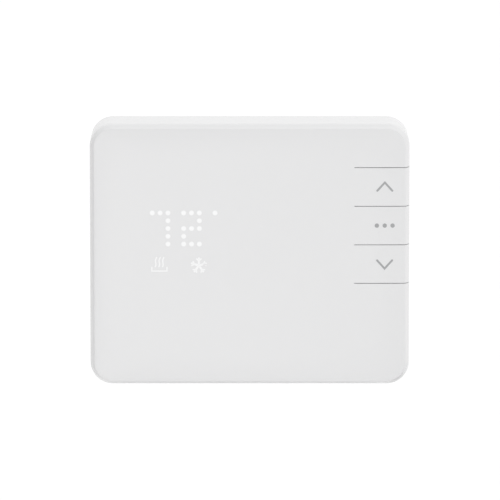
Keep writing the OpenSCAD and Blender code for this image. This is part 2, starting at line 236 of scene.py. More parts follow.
def cellWrap(name, axisX, axisY, low, high, nubUp):  # a film round a steel can, with a pale band
    paint = Paint(name, IOR=1.5)
    offX, offY, z = paint.axis("X") - axisX, paint.axis("Y") - axisY, paint.axis("Z")
    share = (z - low) / (high - low) if nubUp else (high - z) / (high - low)
    film = (offX * offX + offY * offY).smooth((5.5 * mm) ** 2, (5.6 * mm) ** 2)
    band = share.smooth(0.78, 0.782) * (1 - share.smooth(0.90, 0.902))
    line = share.smooth(0.755, 0.757) * (1 - share.smooth(0.765, 0.767))
    color = paint.blend(band, (0.03, 0.07, 0.10), (0.62, 0.64, 0.62))
    color = paint.blend(line, color, (0.62, 0.64, 0.62))
    smear = paint.noise(160, 4)
    paint.set(Base_Color=paint.blend(film, (0.66, 0.66, 0.64), color), Metallic=1 - 0.8 * film)
    paint.set(Roughness=0.24 + 0.12 * smear)
    paint.bump(smear, 0.01 * mm)
    return paint


coverPaint = coverPlastic("coverPlastic")
paints = {
    "plate_plastic": mouldedPlastic("platePlastic", (0.72, 0.72, 0.715), 0.5, 0.02, 4200),
    "terminal_plastic": mouldedPlastic("terminalPlastic", (0.05, 0.19, 0.10), 0.38, 0.01, 5000, 0.06),
    "tab_plastic": mouldedPlastic("tabPlastic", (0.78, 0.20, 0.045), 0.36, 0.01, 5000, 0.05),
    "rear_plastic": mouldedPlastic("rearPlastic", (0.60, 0.605, 0.61), 0.5, 0.02, 4200),
    "guide_plastic": mouldedPlastic("guidePlastic", (0.75, 0.75, 0.74), 0.45, 0.01, 5000),
    "diffuser_film": mouldedPlastic("diffuserFilm", (0.84, 0.83, 0.79), 0.3, 0.004, 7000),
    "led": mouldedPlastic("ledResin", (0.86, 0.80, 0.42), 0.15, 0.002, 9000, 0.04),
    "chip_plastic": mouldedPlastic("chipPlastic", (0.022, 0.022, 0.024), 0.45, 0.01, 9000, 0.1),
    "relay_plastic": mouldedPlastic("relayPlastic", (0.55, 0.19, 0.03), 0.28, 0.006, 6000, 0.05),
    "sensor_plastic": mouldedPlastic("sensorPlastic", (0.78, 0.78, 0.74), 0.35, 0.004, 8000),
    "plunger_plastic": mouldedPlastic("plungerPlastic", (0.02, 0.02, 0.022), 0.35, 0.006, 8000, 0.1),
    "level_fluid": mouldedPlastic("levelFluid", (0.50, 0.72, 0.03), 0.08, 0.0, 100, 0.03, Transmission_Weight=0.5),
    "clear_plastic": mouldedPlastic("clearPlastic", (0.93, 0.96, 0.95), 0.06, 0.001, 3000, 0.01,
                                    Transmission_Weight=0.92),
    "contact_metal": metal("contactBrass", (0.86, 0.66, 0.31), 0.2),
    "spring_steel": metal("springSteel", (0.72, 0.71, 0.69), 0.16),
    "shield_steel": metal("shieldSteel", (0.66, 0.67, 0.68), 0.3),
    "screw_steel": metal("screwSteel", (0.60, 0.60, 0.61), 0.26, 900),
    "capacitor_can": metal("capacitorCan", (0.62, 0.64, 0.68), 0.28),
    "switch_body": metal("switchBody", (0.42, 0.42, 0.43), 0.34),
    "circuit_board": circuitBoard("circuitBoard", (0.012, 0.10, 0.045), (0.80, 0.55, 0.22)),
    "radio_board": circuitBoard("radioBoard", (0.01, 0.03, 0.12), (0.80, 0.55, 0.22)),
}
slotOf = {part["node"]: part["material_slot"] for part in frame["record"]["subparts"]}
print("materials:", len(paints) + 1)


# helpers for meshes

def newPiece(name, mesh, paint, smooth=30):
    piece = bpy.data.objects.new(name, mesh)
    scene.collection.objects.link(piece)
    mesh.materials.clear()
    mesh.materials.append(paint.material)
    mesh.polygons.foreach_set("use_smooth", [True] * len(mesh.polygons))
    mesh.set_sharp_from_angle(angle=math.radians(smooth))
    return piece


def meshFrom(bm, name):
    mesh = bpy.data.meshes.new(name)
    bmesh.ops.recalc_face_normals(bm, faces=bm.faces)
    bm.to_mesh(mesh)
    bm.free()
    return mesh


def frozen(piece):  # turns the modifiers into plain mesh
    graph = bpy.context.evaluated_depsgraph_get()
    plain = bpy.data.meshes.new_from_object(piece.evaluated_get(graph), preserve_all_data_layers=True,
                                            depsgraph=graph)
    piece.modifiers.clear()
    piece.data = plain
    return piece


def evenNormals(piece):
    weigh = piece.modifiers.new("evenNormals", "WEIGHTED_NORMAL")
    weigh.keep_sharp = True
    return frozen(piece)


def carve(piece, cutter, how="DIFFERENCE"):
    cut = piece.modifiers.new("cut", "BOOLEAN")
    cut.operation = how
    cut.solver = "EXACT"
    cut.object = cutter
    frozen(piece)
    bpy.data.objects.remove(cutter)


def boxCutter(low, high):
    bm = bmesh.new()
    bmesh.ops.create_cube(bm, size=1)
    for v in bm.verts:
        v.co = Vector([low[i] + (v.co[i] + 0.5) * (high[i] - low[i]) for i in range(3)])
    cutter = bpy.data.objects.new("cutter", meshFrom(bm, "cutter"))
    scene.collection.objects.link(cutter)
    return cutter


def softened(name, node, width, paint, body, angle=35, segments=2):  # a CAD shape with its edges rounded
    bm = bmesh.new()
    bm.from_mesh(nodes[node].data)
    bmesh.ops.remove_doubles(bm, verts=bm.verts, dist=1e-6)
    bmesh.ops.dissolve_limit(bm, angle_limit=math.radians(1), verts=bm.verts, edges=bm.edges)
    hard = [e for e in bm.edges if e.is_manifold and e.calc_face_angle(0) > math.radians(angle)]
    bmesh.ops.bevel(bm, geom=hard, offset=width, segments=segments, profile=0.5, affect="EDGES",
                    clamp_overlap=True)
    bmesh.ops.remove_doubles(bm, verts=bm.verts, dist=2e-6)
    mesh = bpy.data.meshes.new(name)
    bm.to_mesh(mesh)
    bm.free()
    piece = evenNormals(newPiece(name, mesh, paint))
    return standIn(piece, body, slotOf[node], node)


def standIn(piece, body, slot, *replaced):
    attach(piece, body)
    if replaced:
        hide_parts(*replaced)
    return piece


# Geometry Nodes: one tree builder

class Tree:  # a Geometry Nodes tree with named inputs
    def __init__(self, name, inputs):
        self.tree = bpy.data.node_groups.new(name, "GeometryNodeTree")
        face = self.tree.interface
        face.new_socket("Geometry", in_out="INPUT", socket_type="NodeSocketGeometry")
        face.new_socket("Geometry", in_out="OUTPUT", socket_type="NodeSocketGeometry")
        self.ids = {}
        for label, (kind, value) in inputs.items():
            socket = face.new_socket(label, in_out="INPUT", socket_type="NodeSocket" + kind)
            if value is not None:
                socket.default_value = value
            self.ids[label] = socket.identifier
        self.start = self.tree.nodes.new("NodeGroupInput")
        self.end = self.tree.nodes.new("NodeGroupOutput")

    def input(self, label):
        return self.start.outputs[label]

    def add(self, kind, settings=None, values=None, out=0):
        made = self.tree.nodes.new(kind)
        for key, value in (settings or {}).items():
            setattr(made, key, value)
        for key, value in (values or {}).items():
            socket = made.inputs[key]
            if isinstance(value, bpy.types.NodeSocket):
                self.tree.links.new(value, socket)
            else:
                socket.default_value = value
        return made.outputs[out]

    def math(self, operation, a, b=0.0):
        return self.add("ShaderNodeMath", {"operation": operation}, {0: a, 1: b})

    def close(self, geometry, paint):  # every tree ends in real, painted mesh
        real = self.add("GeometryNodeRealizeInstances", values={0: geometry})
        done = self.add("GeometryNodeSetMaterial", values={0: real, "Material": paint.material})
        self.tree.links.new(done, self.end.inputs[0])

    def run(self, name, points, paint, smooth=30, **values):
        seed = bpy.data.meshes.new(name)
        seed.from_pydata([tuple(p) for p in points], [], [])
        piece = bpy.data.objects.new(name, seed)
        scene.collection.objects.link(piece)
        grow = piece.modifiers.new("grow", "NODES")
        grow.node_group = self.tree
        for label, value in values.items():
            grow[self.ids[label]] = value
        frozen(piece)
        piece.data.materials.clear()
        piece.data.materials.append(paint.material)
        piece.data.polygons.foreach_set("use_smooth", [True] * len(piece.data.polygons))
        piece.data.set_sharp_from_angle(angle=math.radians(smooth))
        return piece


# front cover

coverLow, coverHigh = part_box("front_cover")
keyBox = {k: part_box("key_" + k) for k in keyNames}
cover = {
    "cornerR": 7.7 * mm, "edgeWide": 1.5 * mm, "edgeDeep": 3.2 * mm,
    "edgeFlat": 1.45, "crown": 0.3 * mm, "crownRun": 9 * mm, "wall": 2 * mm, "backRound": 0.4 * mm,
    "innerR": 1.0 * mm, "skirtClear": 0.8 * mm, "cutRound": 0.12 * mm,
    "cornerSteps": 14, "sideSteps": 22, "edgeSteps": 12, "crownSteps": 14,
}
halfW = (coverHigh.x - coverLow.x) / 2
halfH = (coverHigh.z - coverLow.z) / 2
frontY = coverLow.y
backY = coverHigh.y


def outline(inset, radius, y):  # a rounded rectangle as a list of points, always with as many
    w, h = halfW - inset, halfH - inset
    points = []
    steps, sides = cover["cornerSteps"], cover["sideSteps"]
    for quarter, (sx, sz) in enumerate(((1, 1), (-1, 1), (-1, -1), (1, -1))):
        centre = Vector((sx * (w - radius), y, sz * (h - radius)))
        for i in range(steps + 1):
            a = math.radians(90 * (quarter + i / steps))
            points.append(centre + radius * Vector((math.cos(a), 0, math.sin(a))))
        a = math.radians(90 * (quarter + 1))
        start = points[-1]
        nx, nz = ((-1, 1), (-1, -1), (1, -1), (1, 1))[quarter]
        end = Vector((nx * (w - radius), y, nz * (h - radius))) + radius * Vector((math.cos(a), 0, math.sin(a)))
        points += [start.lerp(end, i / sides) for i in range(1, sides)]
    return points


def coverRings():
    c = cover
    rimY = frontY + c["crown"] + c["edgeDeep"]
    rings = []
    for i in range(4):
        a = math.radians(30 * i)
        inset = c["backRound"] * (1 - math.sin(a))
        rings.append((inset, c["cornerR"] - inset, backY - c["backRound"] * (1 - math.cos(a))))
    rings.append((0, c["cornerR"], (rimY + backY) / 2))
    for i in range(c["edgeSteps"] + 1):  # edgeFlat 1 is an ellipse, and 2 a straight chamfer
        a = math.radians(90 * i / c["edgeSteps"])
        inset = c["edgeWide"] * (1 - math.cos(a) ** c["edgeFlat"])
        rings.append((inset, c["cornerR"] - inset, rimY - c["edgeDeep"] * math.sin(a) ** c["edgeFlat"]))
    inset0, radius0 = rings[-1][0], rings[-1][1]
    for i in range(1, c["crownSteps"] + 1):
        t = i / c["crownSteps"]
        rings.append((inset0 + c["crownRun"] * t, radius0 + 0.5 * c["crownRun"] * t,
                      frontY + c["crown"] * (1 - t) ** 2))
    return rings


def loft(name, rings, cavity):
    bm = bmesh.new()
    loops = [[bm.verts.new(p) for p in outline(*ring)] for ring in rings]
    inner = [[bm.verts.new(p) for p in outline(*ring)] for ring in cavity]
    if inner:
        loops = inner[::-1] + loops
    count = len(loops[0])
    for a, b in zip(loops, loops[1:]):
        for i in range(count):
            j = (i + 1) % count
            bm.faces.new((a[i], a[j], b[j], b[i]))
    bm.faces.new(loops[0])
    bm.faces.new(loops[-1][::-1])
    return meshFrom(bm, name)


def shellMesh(name):
    c = cover
    inside = c["cornerR"] - c["wall"]
    roofY = frontY + c["wall"]
    cavity = [(c["wall"], inside, backY), (c["wall"], inside, (backY + roofY) / 2)]
    for i in range(5):
        a = math.radians(22.5 * i)
        inset = c["wall"] + c["innerR"] * (1 - math.cos(a))
        cavity.append((inset, inside - c["innerR"] * (1 - math.cos(a)),
                       roofY + c["innerR"] * (1 - math.sin(a))))
    return loft(name, coverRings(), cavity)


skinTree = bmesh.new()
skinTree.from_mesh(loft("skin", coverRings(), []))
skin = BVHTree.FromBMesh(skinTree)
skinTree.free()


def easeCut(piece, width, fromX):  # rounds the outer edges that a cut has left, right of fromX
    bm = bmesh.new()
    bm.from_mesh(piece.data)
    bmesh.ops.remove_doubles(bm, verts=bm.verts, dist=1e-6)
    touching = {v for v in bm.verts if v.co.x > fromX and skin.find_nearest(v.co)[3] < 0.01 * mm}
    cut = [e for e in bm.edges if touching.issuperset(e.verts) and e.is_manifold
           and e.calc_face_angle(0) > math.radians(50)]
    bmesh.ops.bevel(bm, geom=cut, offset=width, segments=2, profile=0.5, affect="EDGES", clamp_overlap=True)
    bm.to_mesh(piece.data)
    bm.free()
    piece.data.polygons.foreach_set("use_smooth", [True] * len(piece.data.polygons))


notchX = keyBox["up"][0].x - 0.1 * mm          # the keys start where the opening does
slit = keyBox["up"][0].z - keyBox["menu"][1].z
pegTree = Tree("pegs", {"Radius": ("Float", 0.003), "Long": ("Float", 0.01), "Sides": ("Int", 32)})
peg = pegTree.add("GeometryNodeMeshCylinder", values={
    "Vertices": pegTree.input("Sides"), "Radius": pegTree.input("Radius"), "Depth": pegTree.input("Long")})
pegLying = pegTree.add("GeometryNodeTransform", values={"Geometry": peg, "Rotation": (math.pi / 2, 0, 0)})
pegTree.close(pegTree.add("GeometryNodeInstanceOnPoints", values={
    "Points": pegTree.input("Geometry"), "Instance": pegLying}), coverPaint)


def pegs(spots, radius, front, back):  # round bars along Y, from front to back
    return pegTree.run("pegs", [(x, (front + back) / 2, z) for x, z in spots], coverPaint,
                       Radius=radius, Long=back - front, Sides=32)


def fourCorners(x, z):
    return [(sx * x, sz * z) for sx in (-1, 1) for sz in (-1, 1)]


notchTop = keyBox["up"][1].z + slit
notchLow = keyBox["down"][0].z - slit
notchBack = keyBox["up"][1].y + cover["skirtClear"]
skirtBack = max(keyBox[k][1].y for k in keyNames)
outside = halfW + 10 * mm

frontCover = newPiece("frontCover", shellMesh("frontCover"), coverPaint)
carve(frontCover, boxCutter((notchX, frontY - 5 * mm, notchLow), (outside, notchBack, notchTop)))
easeCut(frontCover, cover["cutRound"], notchX + 0.05 * mm)

# the air slots in the bottom wall, and the hollow for the light guide
vents = {"count": 17, "pitch": 4 * mm, "wide": 1.6 * mm, "near": 6.5 * mm, "far": 15 * mm}
slotTree = Tree("ventSlots", {"Pitch": ("Float", 0.004), "Wide": ("Float", 0.0016), "Long": ("Float", 0.0085),
                              "Tall": ("Float", 0.006)})
bar = slotTree.add("GeometryNodeMeshCube", values={
    0: slotTree.add("ShaderNodeCombineXYZ", values={"X": slotTree.input("Wide"), "Y": slotTree.input("Long"),
                                                    "Z": slotTree.input("Tall")})})
row = slotTree.add("GeometryNodeInstanceOnPoints", values={"Points": slotTree.input("Geometry"), "Instance": bar})
slotTree.close(row, coverPaint)
ventMid = -(vents["near"] + vents["far"]) / 2
ventCutter = slotTree.run("ventCutter", [((i - (vents["count"] - 1) / 2) * vents["pitch"], ventMid, -halfH)
                                         for i in range(vents["count"])], coverPaint,
                          Wide=vents["wide"], Long=vents["far"] - vents["near"], Tall=6 * mm)
carve(frontCover, ventCutter)
guideLow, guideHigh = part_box("light_guide")
roofIn = frontY + cover["wall"]
carve(frontCover, boxCutter((guideLow.x - 0.2 * mm, frontY + 0.8 * mm, guideLow.z - 0.2 * mm),
                            (guideHigh.x + 0.2 * mm, roofIn + 1 * mm, guideHigh.z + 0.2 * mm)))

# the screws, and the posts that they go up into
screwSizes = {
    "case_screws": {"headR": 2.0 * mm, "headTall": 1.4 * mm, "shankR": 0.9 * mm},
    "board_screws": {"headR": 1.6 * mm, "headTall": 1.0 * mm, "shankR": 0.75 * mm},
}
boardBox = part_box("main_board")


def screwSpots(node):
    high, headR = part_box(node)[1], screwSizes[node]["headR"]
    return fourCorners(high.x - headR, high.z - headR)


bosses = {
    "case": {"r": 3 * mm, "holeR": 0.95 * mm, "deep": 5 * mm, "foot": boardBox[1].y + 0.3 * mm,
             "at": screwSpots("case_screws")},
    "board": {"r": 2.4 * mm, "holeR": 0.8 * mm, "deep": 3 * mm, "foot": boardBox[0].y,
              "at": screwSpots("board_screws")},
}
for size in bosses.values():
    carve(frontCover, pegs(size["at"], size["r"], roofIn - 0.5 * mm, size["foot"]), "UNION")
for size in bosses.values():
    carve(frontCover, pegs(size["at"], size["holeR"], size["foot"] - size["deep"], size["foot"] + 1 * mm))
frontCover.data.set_sharp_from_angle(angle=math.radians(40))
evenNormals(frontCover)
standIn(frontCover, "front_unit", "cover_plastic", "front_cover")
print("front cover:", len(frontCover.data.polygons), "faces")

# keys

keySizes = {"flexureThin": 0.8 * mm, "flexureWide": 1.6 * mm, "bendRun": 1.8 * mm, "postR": 1.5 * mm,
            "postGap": 0.1 * mm, "ribLong": 12 * mm, "ribWide": 1 * mm, "ribTall": 0.7 * mm}
keyPieces = {}
for k in keyNames:
    low, high = keyBox[k]
    key = newPiece("key" + k.capitalize(), shellMesh("key" + k), coverPaint)
    carve(key, boxCutter((notchX, frontY - 5 * mm, low.z), (outside, skirtBack, high.z)), "INTERSECT")
    plungerLow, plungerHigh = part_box("plunger_" + k)
    postX, postZ = (plungerLow.x + plungerHigh.x) / 2, (low.z + high.z) / 2
    ribX, ribZ = keySizes["ribLong"] / 2, keySizes["ribWide"] / 2
    into = roofIn - 0.3 * mm
    carve(key, pegs([(postX, postZ)], keySizes["postR"], into, plungerLow.y - keySizes["postGap"]), "UNION")
    carve(key, boxCutter((postX - ribX, into, postZ - ribZ),
                         (postX + ribX, roofIn + keySizes["ribTall"], postZ + ribZ)), "UNION")
    carve(key, boxCutter((notchX - 1 * mm, frontY + keySizes["flexureThin"], low.z - 1 * mm),
                         (notchX + keySizes["flexureWide"], skirtBack, high.z + 1 * mm)))
    easeCut(key, cover["cutRound"], notchX + 0.05 * mm)
    key.data.set_sharp_from_angle(angle=math.radians(40))
    evenNormals(key)
    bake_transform(key)
    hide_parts("key_" + k)
    keyPieces[k] = key
print("keys:", [len(key.data.polygons) for key in keyPieces.values()], "faces")


# marks on the keys and light on the face

def onFace(x, z, lift):
    hit = skin.ray_cast(Vector((x, frontY - 1, z)), Vector((0, 1, 0)))[0]
    return Vector((x, hit.y - lift, z))


def stations(points, wide):  # where along a line its rows go, clear of each sharp corner
    places = [0.0]
    for a, b in zip(points, points[1:]):
        places.append(places[-1] + (b - a).length)
    total = places[-1]
    sharp = [places[i] for i in range(1, len(points) - 1)
             if (points[i] - points[i - 1]).angle(points[i + 1] - points[i]) > math.radians(30)]
    count = max(2, round(total / (0.5 * mm)))
    rows = places + [total * i / count for i in range(count + 1)]
    rows += [end for share in (0.07, 0.25, 0.5, 1) for end in (share * wide / 2, total - share * wide / 2)]
    rows = [r for r in rows if r in sharp or all(abs(r - c) > 0.75 * wide for c in sharp)]
    tidy = []
    for r in sorted(rows):
        if not tidy or r - tidy[-1] > 0.01 * mm:
            tidy.append(r)
    return places, total, tidy


def stroke(bm, points, wide, lift, fade=None, put=onFace):  # a raised line with round ends
    points = [Vector(p) for p in points]
    places, total, rows = stations(points, wide)
    tops, feet = [], []
    for run in rows:
        i = max(k for k in range(len(points) - 1) if places[k] <= run + 1e-9)
        after = (points[i + 1] - points[i]).normalized()
        here = points[i] + after * (run - places[i])
        atCorner = i > 0 and run - places[i] < 1e-7
        before = (points[i] - points[i - 1]).normalized() if atCorner else after
        ahead = (before + after).normalized()
        end = min(run, total - run)
        half = wide / 2
        if end < half:
            half = math.sqrt(half ** 2 - (half - end) ** 2) + 0.02 * mm
        across = Vector((-ahead.y, ahead.x)) * half / ahead.dot(after)
        sides = [here + across * s for s in (-1, 0, 1)]
        tops.append([bm.verts.new(put(q.x, q.y, lift)) for q in sides])
        feet.append([bm.verts.new(put(q.x, q.y, -0.05 * mm)) for q in sides])
        if fade is not None:
            for j, vert in enumerate(tops[-1] + feet[-1]):
                vert[fade] = 1 - abs(j % 3 - 1)
    for i in range(len(rows) - 1):
        for j in range(2):
            bm.faces.new((tops[i][j], tops[i + 1][j], tops[i + 1][j + 1], tops[i][j + 1]))
            bm.faces.new((feet[i][j + 1], feet[i + 1][j + 1], feet[i + 1][j], feet[i][j]))
        bm.faces.new((feet[i][0], feet[i + 1][0], tops[i + 1][0], tops[i][0]))
        bm.faces.new((tops[i][2], tops[i + 1][2], feet[i + 1][2], feet[i][2]))
    for i in (0, -1):
        for j in range(2):
            bm.faces.new((tops[i][j], tops[i][j + 1], feet[i][j + 1], feet[i][j]))


marks = {"wide": 5.6 * mm, "tall": 3.1 * mm, "line": 0.68 * mm, "dotR": 0.74 * mm, "dotPitch": 2.7 * mm,
         "lift": 0.03 * mm, "inFromEdge": 8.55 * mm, "color": (0.36, 0.365, 0.37)}
markPaint = mouldedPlastic("markInk", marks["color"], 0.45, 0.006, 6500, 0.02)
markX = halfW - marks["inFromEdge"]
for k, way in (("up", 1), ("down", -1)):
    midZ = (keyBox[k][0].z + keyBox[k][1].z) / 2
    bm = bmesh.new()
    stroke(bm, [(markX - marks["wide"] / 2, midZ - way * marks["tall"] / 2),
                (markX, midZ + way * marks["tall"] / 2),
                (markX + marks["wide"] / 2, midZ - way * marks["tall"] / 2)], marks["line"], marks["lift"])
    standIn(newPiece("mark" + k.capitalize(), meshFrom(bm, "mark"), markPaint, 50), "key_" + k, "cover_plastic")

# round spots: menu dots and lit dots come from one tree
spotTree = Tree("spots", {"Radius": ("Float", 0.001), "Thick": ("Float", 0.0001), "Sides": ("Int", 24)})
puck = spotTree.add("GeometryNodeMeshCylinder", {"fill_type": "TRIANGLE_FAN"}, {
    "Vertices": spotTree.input("Sides"), "Radius": spotTree.input("Radius"), "Depth": spotTree.input("Thick")})
flat = spotTree.add("ShaderNodeVectorMath", {"operation": "MULTIPLY"}, {
    0: spotTree.add("GeometryNodeInputPosition"), 1: (1, 1, 0)})
out = spotTree.add("ShaderNodeVectorMath", {"operation": "LENGTH"}, {0: flat}, out="Value")
inward = spotTree.math("SUBTRACT", 1.0, spotTree.math("DIVIDE", out, spotTree.input("Radius")))
tagged = spotTree.add("GeometryNodeStoreNamedAttribute", {"data_type": "FLOAT", "domain": "POINT"}, {
    "Geometry": puck, "Name": "fade", "Value": inward})
facing = spotTree.add("GeometryNodeTransform", values={"Geometry": tagged, "Rotation": (math.pi / 2, 0, 0)})
spread = spotTree.add("GeometryNodeInstanceOnPoints", values={"Points": spotTree.input("Geometry"),
                                                              "Instance": facing})
spotTree.close(spread, coverPaint)

menuZ = (keyBox["menu"][0].z + keyBox["menu"][1].z) / 2
menuDots = spotTree.run("markMenu", [onFace(markX + i * marks["dotPitch"], menuZ, 0) for i in (-1, 0, 1)],
                        markPaint, Radius=marks["dotR"], Thick=2 * marks["lift"], Sides=32)
standIn(menuDots, "key_menu", "cover_plastic")

display = {"columns": 9, "dotR": 1.05 * mm, "lift": 0.03 * mm, "glow": 0.15, "iconGlow": 0.13,
           "line": 0.55 * mm, "iconWide": 5.2 * mm, "iconTall": 5.0 * mm, "flakeR": 2.9 * mm, "flakeLine": 0.95 * mm}
digits = {"7": ("111", "001", "001", "001", "001"), "2": ("111", "001", "111", "100", "111")}


def glowPlastic(name, glow):
    paint = coverPlastic(name)
    fade = paint.node("ShaderNodeAttribute", {"attribute_name": "fade"}, out="Fac")
    light = fade.smooth(0.0, 0.42)
    paint.set(Emission_Color=paint.blend(light, (0, 0, 0), (1, 1, 1)), Emission_Strength=glow)
    return paint


dotPaint = glowPlastic("litDot", display["glow"])
iconPaint = glowPlastic("litIcon", display["iconGlow"])
ledLow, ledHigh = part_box("display_leds")
dotPitch = (ledHigh.x - ledLow.x - 1 * mm) / (display["columns"] - 1)
dotX, dotZ = ledLow.x + 0.5 * mm, ledHigh.z - 0.3 * mm
lit = [(8, 0)]
for shift, figure in ((0, "7"), (4, "2")):
    for rowIndex, bits in enumerate(digits[figure]):
        lit += [(shift + col, rowIndex) for col, bit in enumerate(bits) if bit == "1"]
litDots = spotTree.run("litDots", [onFace(dotX + c * dotPitch, dotZ - r * dotPitch, 0) for c, r in lit],
                       dotPaint, Radius=display["dotR"], Thick=2 * display["lift"], Sides=32)
standIn(litDots, "front_unit", "cover_plastic")

iconZ = ledLow.z + 0.4 * mm
heatX, flakeX = dotX + 0.9 * dotPitch, dotX + 5.93 * dotPitch
bm = bmesh.new()
fade = bm.verts.layers.float.new("fade")
w, h, line = display["iconWide"], display["iconTall"], display["line"]
trayZ = iconZ - 0.38 * h
stroke(bm, [(heatX - w / 2, trayZ + 0.3 * h), (heatX - w / 2, trayZ), (heatX + w / 2, trayZ),
            (heatX + w / 2, trayZ + 0.3 * h)], line, display["lift"], fade)
for i in (-1, 0, 1):
    wave = [(heatX + i * 0.24 * w + (0.035 * math.sin(2.2 * math.pi * t) + 0.1 * (t - 0.5)) * w,
             trayZ + (0.26 + 0.72 * t) * h) for t in (s / 12 for s in range(13))]
    stroke(bm, wave, line, display["lift"], fade)
standIn(newPiece("heatIcon", meshFrom(bm, "heatIcon"), iconPaint, 50), "front_unit", "cover_plastic")

bm = bmesh.new()
fade = bm.verts.layers.float.new("fade")
for i in range(5):
    a = math.radians(90 + 72 * i)
    arm = Vector((math.cos(a), math.sin(a)))
    side = Vector((-arm.y, arm.x))
    hub = Vector((flakeX, iconZ))
    r = display["flakeR"]
    stroke(bm, [hub + arm * 0.05 * mm, hub + arm * r], display["flakeLine"], display["lift"] + i * 0.002 * mm, fade)
    for s in (-1, 1):
        stroke(bm, [hub + arm * r * 0.55, hub + arm * r * 0.86 + side * s * r * 0.32], line * 1.1,
               display["lift"] + (5 + s) * 0.002 * mm, fade)
standIn(newPiece("coolIcon", meshFrom(bm, "coolIcon"), iconPaint, 50), "front_unit", "cover_plastic")
print("display:", len(lit), "lit dots and two icons")

# mouldings and boards with rounded edges

edgeRounds = {
    "wall_plate": 0.2, "rear_case": 0.2, "terminal_block": 0.2, "release_tab": 0.25, "relays": 0.3,
    "radio_shield": 0.25, "logic_chips": 0.12, "pin_headers": 0.15, "climate_sensor": 0.12, "switch": 0.15,
    "plunger": 0.15, "capacitors": 0.35, "cell_contact": 0.12, "light_guide": 0.15, "terminal_clips": 0.06,
    "header_pins": 0.08, "main_board": 0.08, "radio_board": 0.08, "display_leds": 0.08,
}
bodyOf = {n: body for body, names in frame["record"]["behaviour"]["bodies"].items() for n in names}
for start, width in edgeRounds.items():
    for node in [n for n in nodes if n.startswith(start)]:
        words = node.split("_")
        softened(words[0] + "".join(w.capitalize() for w in words[1:]), node, width * mm,
                 paints[slotOf[node]], bodyOf[node])
print("rounded mouldings:", len(edgeRounds), "kinds")


# small moulded marks on the back of the wall plate

plateBack = {"discR": 2.2 * mm, "lift": 0.15 * mm, "arrowLine": 0.8 * mm, "arrowTall": 7 * mm,
             "arrowWide": 4.2 * mm, "arrowX": 33 * mm, "arrowZ": 0 * mm}
plateTree = bmesh.new()
plateTree.from_mesh(nodes["wall_plate"].data)
plateSkin = BVHTree.FromBMesh(plateTree)
plateTree.free()


def onPlate(x, z, lift):
    hit = plateSkin.ray_cast(Vector((x, 1, z)), Vector((0, -1, 0)))[0]
    return Vector((x, hit.y + lift, z))


discs = [onPlate(sx * x * mm, sz * z * mm, 0) for x, z in ((26, 19), (40, 19), (14, 34)) for sx in (-1, 1)
         for sz in (-1, 1)]
moulded = spotTree.run("plateDiscs", discs, paints["plate_plastic"], Radius=plateBack["discR"],
                       Thick=2 * plateBack["lift"], Sides=32)
standIn(moulded, "wall_plate", "plate_plastic")
arrowHalf = plateBack["arrowWide"] / 2
foot, head = plateBack["arrowZ"] - plateBack["arrowTall"] / 2, plateBack["arrowZ"] + plateBack["arrowTall"] / 2
bm = bmesh.new()
for x in (-plateBack["arrowX"], plateBack["arrowX"]):
    stroke(bm, [(x, foot), (x, head - 0.3 * mm)], plateBack["arrowLine"], plateBack["lift"] - 0.02 * mm,
           None, onPlate)
    stroke(bm, [(x - arrowHalf, head - arrowHalf), (x, head), (x + arrowHalf, head - arrowHalf)],
           plateBack["arrowLine"], plateBack["lift"], None, onPlate)
arrows = newPiece("plateArrows", meshFrom(bm, "plateArrows"), paints["plate_plastic"], 50)
standIn(arrows, "wall_plate", "plate_plastic")
print("wall plate marks:", len(discs), "discs and two arrows")

# small parts soldered to the main board

passives = {"long": 1.6 * mm, "wide": 0.8 * mm, "tall": 0.5 * mm, "gridX": 3.4 * mm, "gridZ": 2.3 * mm,
            "reachX": 40 * mm, "reachZ": 33 * mm, "seed": 7, "share": 0.4}
partTree = Tree("passives", {"Long": ("Float", 0.0016), "Wide": ("Float", 0.0008), "Tall": ("Float", 0.0005),
                             "Seed": ("Int", 7), "Share": ("Float", 0.4)})
chip = partTree.add("GeometryNodeMeshCube", values={
    0: partTree.add("ShaderNodeCombineXYZ", values={"X": partTree.input("Long"), "Y": partTree.input("Tall"),
                                                    "Z": partTree.input("Wide")}), "Vertices X": 4})
alongX = partTree.add("ShaderNodeSeparateXYZ", values={0: partTree.add("GeometryNodeInputPosition")})
endCap = partTree.math("GREATER_THAN", partTree.math("ABSOLUTE", alongX),
                       partTree.math("MULTIPLY", partTree.input("Long"), 0.3))
capped = partTree.add("GeometryNodeStoreNamedAttribute", {"data_type": "FLOAT", "domain": "POINT"}, {
    "Geometry": chip, "Name": "endCap", "Value": endCap})
chosen = partTree.add("FunctionNodeRandomValue", {"data_type": "BOOLEAN"}, {
    "Probability": partTree.input("Share"), "Seed": partTree.input("Seed")}, out=3)
setParts = partTree.add("GeometryNodeInstanceOnPoints", values={
    "Points": partTree.input("Geometry"), "Selection": chosen, "Instance": capped})
partTree.close(setParts, paints["chip_plastic"])

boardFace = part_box("main_board")[0].y
taken = [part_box(n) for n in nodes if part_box(n)[0].y < boardFace - 0.1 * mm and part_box(n)[1].y > boardFace - mm
         and n not in ("front_cover", "case_screws", "board_screws")]
clear = 1.2 * mm


def freeOnBoard(x, z):
    return not any(lo.x - clear < x < hi.x + clear and lo.z - clear < z < hi.z + clear for lo, hi in taken)


